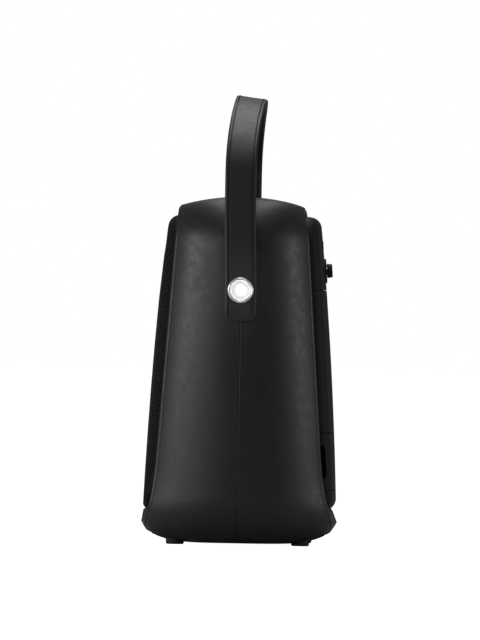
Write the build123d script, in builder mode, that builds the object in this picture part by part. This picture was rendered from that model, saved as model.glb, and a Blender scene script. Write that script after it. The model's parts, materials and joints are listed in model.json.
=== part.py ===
"""Portable battery loudspeaker with a leather strap handle.

Millimetres, +Z up. The origin lies on the ground under the middle of the cabinet. The grille faces -Y, the
control panel and the battery hatch face +Y, and the strap turns on two studs that lie along X.
"""

import os
from math import cos, radians, sin

from build123d import *

os.makedirs("parts", exist_ok=True)

# Cabinet. A share runs from 0 at the middle of the cabinet to 1 at its rear edge and -1 at its front edge.
BELLY = 95.0  # half width where the sides bulge most
SIDE_BULGE = 26.0  # how far the shell edge stands in from the belly
BASE_DEPTH = 61.5  # half depth of the shell edge, carried down to the ground
EDGE_LEAN = 4.05  # degrees that the front and rear edges lean inwards
TOP_Z = 242.0
TOP_DROP = 6.0  # the top is an arc from the middle to the edges
FLOOR_Z = 1.2
FLOOR_RISE = 6.5  # the underside turns up towards the edges
CORNER_R = 32.0  # rounding between top, sides and underside at the middle
CORNER_R_LOSS = 8.0  # the same rounding is tighter at the edges
WALL = 6.0
FLOOR_FALL = 3.0  # how far the inner floor falls from the openings to the middle
SECTION_SHARES = (-1.0, -0.7, -0.35, 0.0, 0.35, 0.7, 1.0)
CAVITY_SHARES = (-1.04, -0.7, -0.35, 0.0, 0.35, 0.7, 1.04)

# Openings in the front and the rear, in the leaning plane of the shell edge
OPENING_HALF = BELLY - SIDE_BULGE - WALL
OPENING_TOP = 230.0
OPENING_BOTTOM = 24.0
OPENING_TOP_R = 18.0
OPENING_BOTTOM_R = 15.0
OPENING_R_LOSS = 8.0  # most that an inset takes off the two radii
COVER_GAP = 0.4  # all round the grille and the rear covers

# Lips that close the openings below
LIP_REACH = 67.8  # half depth at the middle of the lip
LIP_HALF = 68.0
LIP_ENDS = 63.0  # half depth where the lip runs out into the shell edge
LIP_TOP = 23.4
LIP_FOOT_Y = 52.0
LIP_FOOT_Z = 3.0

# Fits
FIT = 0.1
RUNNING_GAP = 0.05
SEAM_GAP = 0.4

# Depths below the plane of the shell edge, negative inwards
LEDGE_BACK = -17.0
LEDGE_FRONT = -13.0
SEAL_FRONT = -12.0
BAFFLE_FRONT = -8.0
CHASSIS_FRONT = -9.5
MESH_BASE = -2.5
WINDOW_INSET = 11.0  # width of the ledge that runs round inside each opening
RIM_WIDTH = 7.6

# Bowed covers on both faces
BOW_HEIGHTS = ((23.0, 7.6), (125.0, 9.7), (232.0, 7.8))
BOW_EDGE = 6.2  # the bow's height at its sides, before the rim is rounded
COVER_R = 8.0
MESH_THICKNESS = 1.0
COVER_WALL = 2.5
LOW_SEAM = 38.9
HATCH_SEAM = 78.9
PANEL_SEAM = 177.9

# Strap and studs
STUD_Z = 177.0
SEAT_X = 95.6
SEAT_FOOT_X = 87.5
SEAT_R = 9.0
INNER_SEAT_R = 12.0
WASHER = 0.4
WASHER_R = 8.0
STRAP_WIDTH = 22.0
STRAP_THICKNESS = 3.0
STRAP_END_Z = 155.0
STRAP_END_R = 6.5
STRAP_BEND_Z = 256.0
STRAP_TOP_Z = 313.6
STRAP_INNER = SEAT_X + WASHER
STRAP_OUTER = STRAP_INNER + STRAP_THICKNESS
SHOULDER_R = 4.0
SHANK_R = 2.5
SHANK_END = 78.0
STUD_R = 9.0
HEAD_FOOT = STRAP_OUTER + 0.1
HEAD_FACE = HEAD_FOOT + 2.4
ANCHOR_FACE = 85.0
ANCHOR_BACK = 82.5
ANCHOR_R = 10.0
NUT_BACK = 78.5
NUT_R = 4.6

# Feet
FOOT_X = 58.0
FOOT_Y = 43.5
FOOT_R = 6.65
FOOT_TOP = 7.0
FOOT_SCREW_HOLE_R = 1.7

# Tie blocks, which take the long screws between the halves
TIE_X = 79.0
TIE_SCREW_X = 74.0
TIE_Z = (56.0, 200.0)

# Screws round the edge of both openings
EDGE_SCREW_X = 56.5
EDGE_SCREW_V = (48.0, 128.0, 205.0)

# Drivers, placed on the front face
WOOFER_V = 90.0
WOOFER_HOLE_R = 46.5
WOOFER_SCREW_REACH = 49.2 / 2**0.5
BASKET_FACE = -5.5
BASKET_BACK = -35.0
TWEETER_X = 34.5
TWEETER_V = 182.0
TWEETER_R = 15.0
TWEETER_FLANGE_R = 19.5
TWEETER_SCREW_REACH = 17.2 / 2**0.5
PORT_R = 11.0
GRILLE_PEG_X = 58.8
GRILLE_PEG_V = (70.0, 196.0)

# Battery bay and hatch, placed on the rear face
BAY_HALF = 47.0
BAY_LOW = 42.0
BAY_HIGH = 76.0
BAY_MIDDLE = (BAY_LOW + BAY_HIGH) / 2
BAY_HEIGHT = BAY_HIGH - BAY_LOW
BAY_DEPTH = -45.5
BAY_WALL = 2.0
CONTACT_HEIGHT = 1.5
BATTERY_FRONT = -11.0
BATTERY_R = 6.0
HATCH_MIDDLE = (LOW_SEAM + HATCH_SEAM) / 2
GRIP_INNER_X = 53.0
GRIP_LENGTH = 23.7
GRIP_LOW = -1.5
GRIP_HIGH = 3.2
GRIP_R = 3.0
GRIP_WALL = 1.5

# Controls, placed on the rear face
KNOB_V = 191.5
KNOB_R = 5.0
PANEL_FACE = 9.1  # where the knob stands
BOSS_R = 8.5
BOSS_TOP = PANEL_FACE + 1.0
KNOB_FOOT = BOSS_TOP + 0.2
KNOB_TOP = BOSS_TOP + 4.0
SHAFT_END = KNOB_FOOT + 2.2
KNURLS = 28
BUSHING_R = 3.5
BUTTON_X = 16.0
BUTTON_V = 209.5
BUTTON_R = 3.5
BUTTON_FLANGE_R = 4.4
BUTTON_FACE = 8.6
LENS_R = 1.5
LENS_FACE = 8.5
LENS_FLANGE_R = 2.4
JACK_X = 34.0
JACK_FACE = 8.3
JACK_BODY_TOP = 3.6
JACK_BODY_BACK = -8.2
AUX_R = 3.2
AUX_BORE_R = 1.8
AUX_BORE_DEPTH = 14.0
POWER_R = 4.6
POWER_BORE_R = 2.8
POWER_BORE_DEPTH = 9.5
POWER_PIN_R = 0.95

# Control board in front of the chassis and main board behind it
BOARD_FRONT = -4.0
BOARD_BACK = -5.6
BOARD_WIDTH = 94.0
BOARD_LOW = 184.0
BOARD_HIGH = 217.0
MAIN_FRONT = -20.0
MAIN_BACK = -21.6
MAIN_WIDTH = 96.0
MAIN_LOW = 92.0
MAIN_HIGH = 168.0
SINK_V = 146.0
SINK_WIDTH = 56.0
SINK_HEIGHT = 30.0
SINK_BASE = 2.5
SINK_DEPTH = 14.0
FIN_PITCH = 7.6
FIN_COUNT = 8
CAPACITOR_X = (-32.0, -17.0, 17.0, 32.0)
CAPACITOR_V = 112.0
CAPACITOR_R = 6.0
CAPACITOR_LENGTH = 16.0


def half_width(share):
    """Half width of the cabinet in a slice between its middle and its edges."""
    return BELLY - SIDE_BULGE * (0.57 * share**2 + 0.43 * share**4)


def slice_plane(share):
    """Upright slice across the cabinet, which leans inwards more the nearer it is to an edge."""
    lean = radians(EDGE_LEAN * share)
    return Plane(origin=(0, BASE_DEPTH * share, 0), x_dir=(1, 0, 0), z_dir=(0, -cos(lean), -sin(lean)))


def face_plane(side):
    """Plane of the shell edge, x across, y up and z outwards; side is -1 for the front and 1 for the rear."""
    lean = radians(EDGE_LEAN)
    return Plane(
        origin=(0, BASE_DEPTH * side, 0), x_dir=(-side, 0, 0), z_dir=(0, side * cos(lean), sin(lean))
    )


FRONT = face_plane(-1)
REAR = face_plane(1)


def rounded_outline(plane, half, top, bottom, top_radius, bottom_radius):
    """Upright rectangle with two radii, drawn on a slice or on a face."""
    with BuildSketch(plane) as outline:
        with Locations((0, (top + bottom) / 2)):
            Rectangle(2 * half, top - bottom)
        fillet(outline.vertices().group_by(Axis.Y)[-1], top_radius)
        fillet(outline.vertices().group_by(Axis.Y)[0], bottom_radius)
    return outline.sketch


def cabinet_slice(share):
    """Outline of the cabinet in one slice."""
    return rounded_outline(
        slice_plane(share),
        half_width(share),
        TOP_Z - TOP_DROP * share**2,
        FLOOR_Z + FLOOR_RISE * share**4,
        CORNER_R - CORNER_R_LOSS * share**2,
        CORNER_R - CORNER_R_LOSS * share**2,
    )


def cavity_slice(share):
    """Outline of the room inside in one slice; its floor falls from the lower edges of the openings."""
    return rounded_outline(
        slice_plane(share),
        half_width(share) - WALL,
        TOP_Z - WALL - TOP_DROP * share**2,
        OPENING_BOTTOM - FLOOR_FALL * (1 - share**2),
        CORNER_R - WALL - CORNER_R_LOSS * share**2,
        OPENING_BOTTOM_R,
    )


def opening_outline(plane, inset):
    """Outline of the opening, drawn in by an inset."""
    return rounded_outline(
        plane,
        OPENING_HALF - inset,
        OPENING_TOP - inset,
        OPENING_BOTTOM + inset,
        OPENING_TOP_R - min(inset, OPENING_R_LOSS),
        OPENING_BOTTOM_R - min(inset, OPENING_R_LOSS),
    )


def face_slab(face, low, high, inset, hole_inset=None):
    """Plate with the opening's outline between two depths, or a ring when a hole inset is given."""
    with BuildPart() as slab:
        extrude(opening_outline(face.offset(low), inset), amount=high - low)
        if hole_inset is not None:
            extrude(opening_outline(face.offset(low), hole_inset), amount=high - low, mode=Mode.SUBTRACT)
    return slab.part


def radial_plane(face, x, v):
    """Plane through an axis that stands on a face: sketch x is the radius, sketch y the height outwards."""
    return Plane(origin=face.from_local_coords((x, v, 0)), x_dir=face.x_dir, z_dir=-face.y_dir)


def turned(face, x, v, profile):
    """Solid of revolution about an axis that stands on a face, from radius and height pairs."""
    plane = radial_plane(face, x, v)
    with BuildPart() as piece:
        with BuildSketch(plane):
            with BuildLine():
                Polyline(*profile, close=True)
            make_face()
        revolve(axis=Axis(plane.origin, face.z_dir))
    return piece.part


def peg(face, x, v, low, high, radius):
    """Round bar between two heights on a face."""
    return turned(face, x, v, [(0, low), (radius, low), (radius, high), (0, high)])


def pegs(face, places, low, high, radius):
    """Round bars at several places of a face."""
    with BuildPart() as group:
        for x, v in places:
            add(peg(face, x, v, low, high, radius))
    return group.part


def block(face, x, v, low, high, width, height):
    """Square-cornered block between two heights on a face."""
    with BuildPart() as piece:
        with BuildSketch(face.offset(low)):
            with Locations((x, v)):
                Rectangle(width, height)
        extrude(amount=high - low)
    return piece.part


def screw(face, x, v, seat, tip, head_radius, shank_radius):
    """Pan-head screw whose head rests at one height and whose point ends at another."""
    head = seat + (2.0 if seat > tip else -2.0)
    dome = seat + (1.2 if seat > tip else -1.2)
    profile = [
        (0, tip),
        (shank_radius, tip),
        (shank_radius, seat),
        (head_radius, seat),
        (head_radius, dome),
        (head_radius * 0.6, head),
        (0, head),
    ]
    return turned(face, x, v, profile)


def screws(face, places, seat, tip, head_radius, shank_radius):
    """The same screw at several places of a face."""
    with BuildPart() as group:
        for x, v in places:
            add(screw(face, x, v, seat, tip, head_radius, shank_radius))
    return group.part


def pillow(face, inset, base, lowered):
    """Bowed body on a face, with one rounding all round its rim."""
    half = OPENING_HALF - inset
    up = Plane(origin=face.origin, x_dir=-face.x_dir, z_dir=face.y_dir)
    sections = []
    for v, height in BOW_HEIGHTS:
        with BuildSketch(up.offset(v)) as bow:
            with BuildLine():
                side = BOW_EDGE - lowered
                arc = ThreePointArc((-half, side), (0, height - lowered), (half, side))
                Polyline(arc @ 1, (half, base), (-half, base), arc @ 0)
            make_face()
        sections.append(bow.sketch)
    with BuildPart() as body:
        loft(sections=sections)
        extrude(opening_outline(face.offset(base), inset), amount=20, mode=Mode.INTERSECT)
        crown = body.faces().sort_by(Axis(face.origin, face.z_dir))[-1]
        fillet(crown.edges(), COVER_R - lowered)
    return body.part


def band(face, piece, low, high):
    """The stretch of a cover between two seams."""
    with BuildPart() as stretch:
        add(piece)
        with BuildSketch(face.offset(-20)):
            with Locations((0, (low + high) / 2)):
                Rectangle(2 * BELLY, high - low)
        extrude(amount=40, mode=Mode.INTERSECT)
    return stretch.part


def rear_cover(low, high):
    """Hollow cover between two seams of the rear, open towards the chassis."""
    hollow_low = low + COVER_WALL
    hollow_high = high - COVER_WALL
    with BuildPart() as cover:
        add(band(REAR, REAR_PILLOW, low, high))
        add(band(REAR, REAR_HOLLOW, hollow_low, hollow_high), mode=Mode.SUBTRACT)
    return cover.part


def at_corners(piece, x, y):
    """Four copies of a piece at the corners of a rectangle round the origin."""
    with BuildPart() as group:
        with GridLocations(2 * x, 2 * y, 2, 2):
            add(piece)
    return group.part


def mirrored(x, heights):
    """Places in mirrored pairs at several heights of a face."""
    return [(side * x, v) for side in (-1, 1) for v in heights]


def square(x, v, reach):
    """Places at the corners of a square."""
    return [(x + across, v + along) for across in (-reach, reach) for along in (-reach, reach)]


def save(piece, name):
    """Name a piece and write it to its own file."""
    piece.label = name
    export_step(piece, f"parts/{name}.step")


EDGE_SCREWS = mirrored(EDGE_SCREW_X, EDGE_SCREW_V)
GRILLE_PEGS = mirrored(GRILLE_PEG_X, GRILLE_PEG_V)
WOOFER_SCREWS = square(0, WOOFER_V, WOOFER_SCREW_REACH)
TWEETER_SCREWS = square(-TWEETER_X, TWEETER_V, TWEETER_SCREW_REACH) + square(
    TWEETER_X, TWEETER_V, TWEETER_SCREW_REACH
)
BOARD_POSTS = mirrored(43.0, (188.0, 213.0))
MAIN_POSTS = mirrored(44.0, (97.0, 163.0))
BORE_ALIGN = (Align.CENTER, Align.CENTER, Align.MIN)
HANGING_ALIGN = (Align.CENTER, Align.CENTER, Align.MAX)

# Cabinet: two wrapped half shells that meet in the upright plane under the strap
with BuildPart() as outer:
    loft(sections=[cabinet_slice(share) for share in SECTION_SHARES])

with BuildPart() as cavity:
    loft(sections=[cavity_slice(share) for share in CAVITY_SHARES])

with BuildPart() as lips:
    with BuildSketch(Plane.XY):
        with BuildLine():
            front_arc = ThreePointArc((-LIP_HALF, -LIP_ENDS), (0, -LIP_REACH), (LIP_HALF, -LIP_ENDS))
            rear_arc = ThreePointArc((LIP_HALF, LIP_ENDS), (0, LIP_REACH), (-LIP_HALF, LIP_ENDS))
            Line(front_arc @ 1, rear_arc @ 0)
            Line(rear_arc @ 1, front_arc @ 0)
        make_face()
    extrude(amount=LIP_TOP)
    with BuildSketch(Plane.YZ):
        with BuildLine():
            underside = Spline((LIP_FOOT_Y, LIP_FOOT_Z), (59.8, 6.4), (65.0, 11.0), (LIP_REACH, 15.2))
            Polyline(underside @ 1, (64.6, LIP_TOP), (0, LIP_TOP), (0, LIP_FOOT_Z), underside @ 0)
        make_face()
        mirror(about=Plane.YZ)
    extrude(amount=BELLY, both=True, mode=Mode.INTERSECT)
    with BuildSketch(Plane.XZ):
        add(rounded_outline(Plane.XY, half_width(1), 2 * CORNER_R, 7.0, 8.0, CORNER_R - CORNER_R_LOSS))
    extrude(amount=BELLY, both=True, mode=Mode.INTERSECT)

with BuildPart() as cabinet:
    add(outer.part)
    add(lips.part)
    add(cavity.part, mode=Mode.SUBTRACT)
    for face in (FRONT, REAR):
        with BuildPart(mode=Mode.PRIVATE) as ledge:
            add(outer.part)
            with BuildSketch(face.offset(LEDGE_BACK)):
                with Locations((0, TOP_Z / 2)):
                    Rectangle(2 * BELLY, TOP_Z * 2)
            extrude(amount=LEDGE_FRONT - LEDGE_BACK, mode=Mode.INTERSECT)
            extrude(
                opening_outline(face.offset(LEDGE_BACK - 1), WINDOW_INSET), amount=10, mode=Mode.SUBTRACT
            )
        add(ledge.part)
        add(pegs(face, EDGE_SCREWS, -18, -12, 1.4), mode=Mode.SUBTRACT)
    # Room under the drivers, between the feet
    with Locations((0, 0, 10)):
        Box(90, 60, 15, align=BORE_ALIGN, mode=Mode.SUBTRACT)
    # Tie blocks for the long screws that hold the halves together
    for side, z in mirrored(1, TIE_Z):
        with Locations((side * TIE_X, 3, z)):
            Box(22, 38, 12)
        with Locations((side * TIE_SCREW_X, 22, z)):
            Cylinder(1.7, 22, rotation=(90, 0, 0), align=BORE_ALIGN, mode=Mode.SUBTRACT)
            Cylinder(1.45, 35, rotation=(90, 0, 0), align=BORE_ALIGN, mode=Mode.SUBTRACT)
    # Flat seats outside and inside the walls for the strap's studs
    for side in (-1, 1):
        with Locations(Plane(origin=(side * SEAT_FOOT_X, 0, STUD_Z), z_dir=(side, 0, 0))):
            Cylinder(SEAT_R, SEAT_X - SEAT_FOOT_X, align=BORE_ALIGN)
            Cylinder(INNER_SEAT_R, 5)
        with Locations(Plane(origin=(side * SEAT_X, 0, STUD_Z), z_dir=(side, 0, 0))):
            Hole(SHANK_R + FIT, depth=20)
    # Pockets for the feet and their screws
    for x, y in mirrored(FOOT_X, (-FOOT_Y, FOOT_Y)):
        with Locations((x, y, FOOT_TOP)):
            Cylinder(FOOT_R + RUNNING_GAP, 10, align=HANGING_ALIGN, mode=Mode.SUBTRACT)
            Cylinder(1.55, 9, align=BORE_ALIGN, mode=Mode.SUBTRACT)

with BuildPart() as front_shell:
    add(cabinet.part)
    split(bisect_by=Plane.XZ, keep=Keep.TOP)
with BuildPart() as rear_shell:
    add(cabinet.part)
    split(bisect_by=Plane.XZ, keep=Keep.BOTTOM)
save(front_shell.part, "front_shell")
save(rear_shell.part, "rear_shell")

# Feet, each with the screw that holds it
with BuildPart() as rubber_feet:
    with BuildSketch(Plane.XZ):
        with BuildLine():
            Polyline(
                (FOOT_SCREW_HOLE_R, 3),
                (3.2, 3),
                (3.2, 0),
                (5.6, 0),
                (6.2, 0.6),
                (FOOT_R, FOOT_TOP),
                (FOOT_SCREW_HOLE_R, FOOT_TOP),
                close=True,
            )
        make_face()
    revolve(axis=Axis.Z)
with BuildPart() as foot_screws:
    with BuildSketch(Plane.XZ):
        with BuildLine():
            Polyline((0, 1), (1.8, 1), (2.9, 1.8), (2.9, 3), (1.5, 3), (1.5, 14), (0, 14), close=True)
        make_face()
    revolve(axis=Axis.Z)
save(at_corners(rubber_feet.part, FOOT_X, FOOT_Y), "rubber_feet")
save(at_corners(foot_screws.part, FOOT_X, FOOT_Y), "foot_screws")

with BuildPart() as cabinet_screw:
    with BuildSketch(Plane.XY):
        with BuildLine():
            Polyline(
                (0, 24.6), (1.8, 24.6), (2.9, 23.6), (2.9, 22), (1.4, 22), (1.4, -12), (0, -12), close=True
            )
        make_face()
    revolve(axis=Axis.Y)
with BuildPart() as cabinet_screws:
    for side, z in mirrored(1, TIE_Z):
        with Locations((side * TIE_SCREW_X, 0, z)):
            add(cabinet_screw.part)
save(cabinet_screws.part, "cabinet_screws")

# Front baffle and its seal, screwed on from inside the ledge
with BuildPart() as front_baffle:
    add(face_slab(FRONT, SEAL_FRONT, BAFFLE_FRONT, COVER_GAP))
    add(peg(FRONT, 0, WOOFER_V, -14, -6, WOOFER_HOLE_R), mode=Mode.SUBTRACT)
    add(peg(FRONT, 0, TWEETER_V, -14, -6, PORT_R + FIT), mode=Mode.SUBTRACT)
    add(pegs(FRONT, mirrored(TWEETER_X, (TWEETER_V,)), -14, -6, TWEETER_R + FIT), mode=Mode.SUBTRACT)
    add(pegs(FRONT, WOOFER_SCREWS, -14, -6, 1.3), mode=Mode.SUBTRACT)
    add(pegs(FRONT, TWEETER_SCREWS, -14, -6, 1.15), mode=Mode.SUBTRACT)
    add(pegs(FRONT, GRILLE_PEGS, -14, -6, 2.05), mode=Mode.SUBTRACT)
    add(pegs(FRONT, EDGE_SCREWS, -14, -9, 1.2), mode=Mode.SUBTRACT)
save(front_baffle.part, "front_baffle")

with BuildPart() as baffle_seal:
    add(face_slab(FRONT, LEDGE_FRONT, SEAL_FRONT, COVER_GAP, WINDOW_INSET))
    add(pegs(FRONT, EDGE_SCREWS, -14, -11, 1.4), mode=Mode.SUBTRACT)
save(baffle_seal.part, "baffle_seal")
save(screws(FRONT, EDGE_SCREWS, LEDGE_BACK, -9.2, 2.8, 1.15), "baffle_screws")

# Woofer
with BuildPart() as woofer_basket:
    add(
        turned(
            FRONT,
            0,
            WOOFER_V,
            [
                (52, BAFFLE_FRONT),
                (52, BASKET_FACE),
                (43.5, BASKET_FACE),
                (43.5, -13),
                (28, -33),
                (14, -33),
                (14, BASKET_BACK),
                (30, BASKET_BACK),
                (46, -14),
                (46, BAFFLE_FRONT),
            ],
        )
    )
    add(pegs(FRONT, WOOFER_SCREWS, -9, -5, 1.4), mode=Mode.SUBTRACT)
    # Windows between the arms of the basket
    with Locations(Plane(FRONT.from_local_coords((0, WOOFER_V, -23)), FRONT.x_dir, FRONT.z_dir)):
        with PolarLocations(38, 6):
            Box(24, 24, 13, mode=Mode.SUBTRACT)
save(woofer_basket.part, "woofer_basket")
woofer_magnet = turned(
    FRONT,
    0,
    WOOFER_V,
    [
        (0, -51),
        (32, -51),
        (32, BASKET_BACK),
        (14.2, BASKET_BACK),
        (14.2, -48),
        (12, -48),
        (12, -36),
        (0, -36),
    ],
)
save(woofer_magnet, "woofer_magnet")
woofer_cone = turned(
    FRONT,
    0,
    WOOFER_V,
    [(13.4, -23.4), (34, -6.5), (36.5, -6.5), (36.5, -5.5), (33.4, -5.5), (13.4, -22)],
)
save(woofer_cone, "woofer_cone")
voice_coil = turned(FRONT, 0, WOOFER_V, [(12.6, -44), (13.4, -44), (13.4, -21.5), (12.6, -21.5)])
save(voice_coil, "voice_coil")

woofer_axis = radial_plane(FRONT, 0, WOOFER_V)
with BuildPart() as woofer_surround:
    with BuildSketch(woofer_axis):
        with BuildLine():
            inner_roll = ThreePointArc((37.3, BASKET_FACE), (40.5, -2.3), (43.7, BASKET_FACE))
            outer_roll = ThreePointArc((44.5, -4.7), (40.5, -1.4), (36.5, -4.7))
            Polyline(inner_roll @ 1, (46, BASKET_FACE), (46, -4.7), outer_roll @ 0)
            Polyline(outer_roll @ 1, (34.5, -4.7), (34.5, BASKET_FACE), inner_roll @ 0)
        make_face()
    revolve(axis=Axis(woofer_axis.origin, FRONT.z_dir))
save(woofer_surround.part, "woofer_surround")


def dome_shoulder(radius, foot, crown):
    """Point of a shallow circular dome at half its radius."""
    rise = crown - foot
    sphere = (radius**2 + rise**2) / (2 * rise)
    return (radius / 2, crown - sphere + (sphere**2 - radius**2 / 4) ** 0.5)


def dome(x, v, radius, foot, crown, thickness):
    """Thin dome that stands on its rim."""
    plane = radial_plane(FRONT, x, v)
    inner_radius = radius - thickness
    inner_crown = crown - thickness
    with BuildPart() as cap:
        with BuildSketch(plane):
            with BuildLine():
                outer_arc = ThreePointArc((0, crown), dome_shoulder(radius, foot, crown), (radius, foot))
                inner_arc = ThreePointArc(
                    (inner_radius, foot), dome_shoulder(inner_radius, foot, inner_crown), (0, inner_crown)
                )
                Line(outer_arc @ 1, inner_arc @ 0)
                Line(inner_arc @ 1, outer_arc @ 0)
            make_face()
        revolve(axis=Axis(plane.origin, FRONT.z_dir))
    return cap.part


save(dome(0, WOOFER_V, 16, -19.8, -14, 0.8), "dust_cap")
save(screws(FRONT, WOOFER_SCREWS, BASKET_FACE, -13.5, 2.4, 1.25), "woofer_screws")

# Tweeters and the bass port between them
for name, x in (("left_tweeter", -TWEETER_X), ("right_tweeter", TWEETER_X)):
    with BuildPart() as tweeter:
        add(
            turned(
                FRONT,
                x,
                TWEETER_V,
                [
                    (0, -30),
                    (TWEETER_R, -30),
                    (TWEETER_R, BAFFLE_FRONT),
                    (TWEETER_FLANGE_R, BAFFLE_FRONT),
                    (TWEETER_FLANGE_R, -6),
                    (12.2, -6),
                    (12.2, -8.5),
                    (0, -8.5),
                ],
            )
        )
        add(pegs(FRONT, square(x, TWEETER_V, TWEETER_SCREW_REACH), -9, -5, 1.2), mode=Mode.SUBTRACT)
    save(tweeter.part, name)
    save(dome(x, TWEETER_V, 11.8, -8.5, -3.6, 0.6), f"{name}_dome")

save(screws(FRONT, TWEETER_SCREWS, -6, -13.5, 1.9, 1.1), "tweeter_screws")
bass_port = turned(
    FRONT,
    0,
    TWEETER_V,
    [
        (PORT_R, -60),
        (PORT_R, BAFFLE_FRONT),
        (13.5, BAFFLE_FRONT),
        (13.5, -6.5),
        (10.5, -6.5),
        (9, -9),
        (9, -60),
    ],
)
save(bass_port, "bass_port")

# Grille
with BuildPart() as grille_frame:
    add(face_slab(FRONT, BAFFLE_FRONT, MESH_BASE, COVER_GAP, COVER_GAP + RIM_WIDTH))
    add(pegs(FRONT, GRILLE_PEGS, -11.5, -7, 2))
save(grille_frame.part, "grille_frame")
with BuildPart() as grille_mesh:
    add(pillow(FRONT, COVER_GAP, MESH_BASE, 0))
    add(pillow(FRONT, COVER_GAP + MESH_THICKNESS, MESH_BASE - 2, MESH_THICKNESS), mode=Mode.SUBTRACT)
save(grille_mesh.part, "grille_mesh")

# Rear chassis with the battery bay, its seal and its screws
with BuildPart() as rear_seal:
    add(face_slab(REAR, LEDGE_FRONT, SEAL_FRONT, COVER_GAP, WINDOW_INSET))
    add(pegs(REAR, EDGE_SCREWS, -14, -11, 1.4), mode=Mode.SUBTRACT)
save(rear_seal.part, "rear_seal")

with BuildPart() as rear_chassis:
    add(face_slab(REAR, SEAL_FRONT, CHASSIS_FRONT, COVER_GAP))
    add(
        block(
            REAR,
            0,
            BAY_MIDDLE,
            BAY_DEPTH - BAY_WALL,
            SEAL_FRONT,
            2 * (BAY_HALF + BAY_WALL),
            BAY_HEIGHT + 2 * BAY_WALL,
        )
    )
    add(block(REAR, 0, BAY_MIDDLE, BAY_DEPTH, 0, 2 * BAY_HALF, BAY_HEIGHT), mode=Mode.SUBTRACT)
    add(pegs(REAR, BOARD_POSTS, CHASSIS_FRONT, BOARD_BACK, 2.8))
    add(pegs(REAR, BOARD_POSTS, -11.5, -5, 1.0), mode=Mode.SUBTRACT)
    add(pegs(REAR, MAIN_POSTS, MAIN_FRONT, SEAL_FRONT, 3.0))
    add(pegs(REAR, MAIN_POSTS, -21, -10.5, 1.2), mode=Mode.SUBTRACT)
    add(pegs(REAR, EDGE_SCREWS, -14, -9, 1.5), mode=Mode.SUBTRACT)
    # Way through for the cable between the two boards
    add(block(REAR, 0, 172, -14, -9, 24, 6), mode=Mode.SUBTRACT)
save(rear_chassis.part, "rear_chassis")

save(screws(REAR, EDGE_SCREWS, CHASSIS_FRONT, LEDGE_BACK + 0.4, 2.8, 1.35), "chassis_screws")

# Rear covers, stacked between three seams
REAR_PILLOW = pillow(REAR, COVER_GAP, CHASSIS_FRONT, 0)
REAR_HOLLOW = pillow(REAR, COVER_GAP + COVER_WALL, CHASSIS_FRONT - 3, COVER_WALL)
HALF_GAP = SEAM_GAP / 2
save(rear_cover(OPENING_BOTTOM, LOW_SEAM - HALF_GAP), "rear_foot_cover")
save(rear_cover(HATCH_SEAM + HALF_GAP, PANEL_SEAM - HALF_GAP), "rear_middle_cover")

with BuildPart() as battery_hatch:
    add(rear_cover(LOW_SEAM + HALF_GAP, HATCH_SEAM - HALF_GAP))
    # Finger grips in both sides, each a closed well beside the shell edge
    with BuildPart(mode=Mode.PRIVATE) as wells:
        for side in (-1, 1):
            add(
                block(
                    REAR,
                    side * (GRIP_INNER_X - GRIP_WALL + OPENING_HALF) / 2,
                    HATCH_MIDDLE,
                    GRIP_LOW - GRIP_WALL,
                    GRIP_HIGH + GRIP_WALL,
                    OPENING_HALF - GRIP_INNER_X + GRIP_WALL,
                    GRIP_LENGTH + 2 * GRIP_WALL,
                )
            )
        add(band(REAR, REAR_PILLOW, LOW_SEAM + HALF_GAP, HATCH_SEAM - HALF_GAP), mode=Mode.INTERSECT)
    add(wells.part)
    for side in (-1, 1):
        grip_origin = REAR.from_local_coords((side * GRIP_INNER_X, 0, 0))
        side_plane = Plane(origin=grip_origin, x_dir=REAR.y_dir, z_dir=REAR.x_dir)
        with BuildSketch(side_plane) as grip:
            with Locations((HATCH_MIDDLE, (GRIP_LOW + GRIP_HIGH) / 2)):
                Rectangle(GRIP_LENGTH, GRIP_HIGH - GRIP_LOW)
            fillet(grip.vertices().group_by(Axis.Y)[-1], GRIP_R)
        extrude(amount=side * 20, mode=Mode.SUBTRACT)
save(battery_hatch.part, "battery_hatch")

# Control panel with its knob boss, button holes and jack holes
with BuildPart() as control_panel:
    add(rear_cover(PANEL_SEAM + HALF_GAP, OPENING_TOP))
    add(peg(REAR, 0, KNOB_V, PANEL_FACE - 2, BOSS_TOP, BOSS_R))
    add(peg(REAR, 0, KNOB_V, 0, 15, BUSHING_R + FIT), mode=Mode.SUBTRACT)
    add(pegs(REAR, mirrored(BUTTON_X, (BUTTON_V,)), 0, 15, BUTTON_R + RUNNING_GAP), mode=Mode.SUBTRACT)
    add(peg(REAR, 0, BUTTON_V, 0, 15, LENS_R + RUNNING_GAP), mode=Mode.SUBTRACT)
    add(peg(REAR, JACK_X, KNOB_V, 0, 15, AUX_R + FIT), mode=Mode.SUBTRACT)
    add(peg(REAR, -JACK_X, KNOB_V, 0, 15, POWER_R + FIT), mode=Mode.SUBTRACT)
save(control_panel.part, "control_panel")

# Controls: the knob turns with its shaft, the buttons are pressed on to switches
with BuildPart() as volume_knob:
    add(
        turned(
            REAR,
            0,
            KNOB_V,
            [
                (0, SHAFT_END),
                (SHANK_R, SHAFT_END),
                (SHANK_R, KNOB_FOOT),
                (KNOB_R, KNOB_FOOT),
                (KNOB_R - 0.3, KNOB_TOP - 0.4),
                (KNOB_R - 0.8, KNOB_TOP),
                (0, KNOB_TOP),
            ],
        )
    )
    # Knurled rim
    with Locations(Plane(REAR.from_local_coords((0, KNOB_V, KNOB_FOOT)), REAR.x_dir, REAR.z_dir)):
        with PolarLocations(KNOB_R + 0.1, KNURLS):
            Box(0.5, 0.5, 2.6, align=(Align.CENTER, Align.CENTER, Align.MIN), mode=Mode.SUBTRACT)
save(volume_knob.part, "volume_knob")
save(peg(REAR, 0, KNOB_V, -1, SHAFT_END, SHANK_R), "encoder_shaft")
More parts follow.
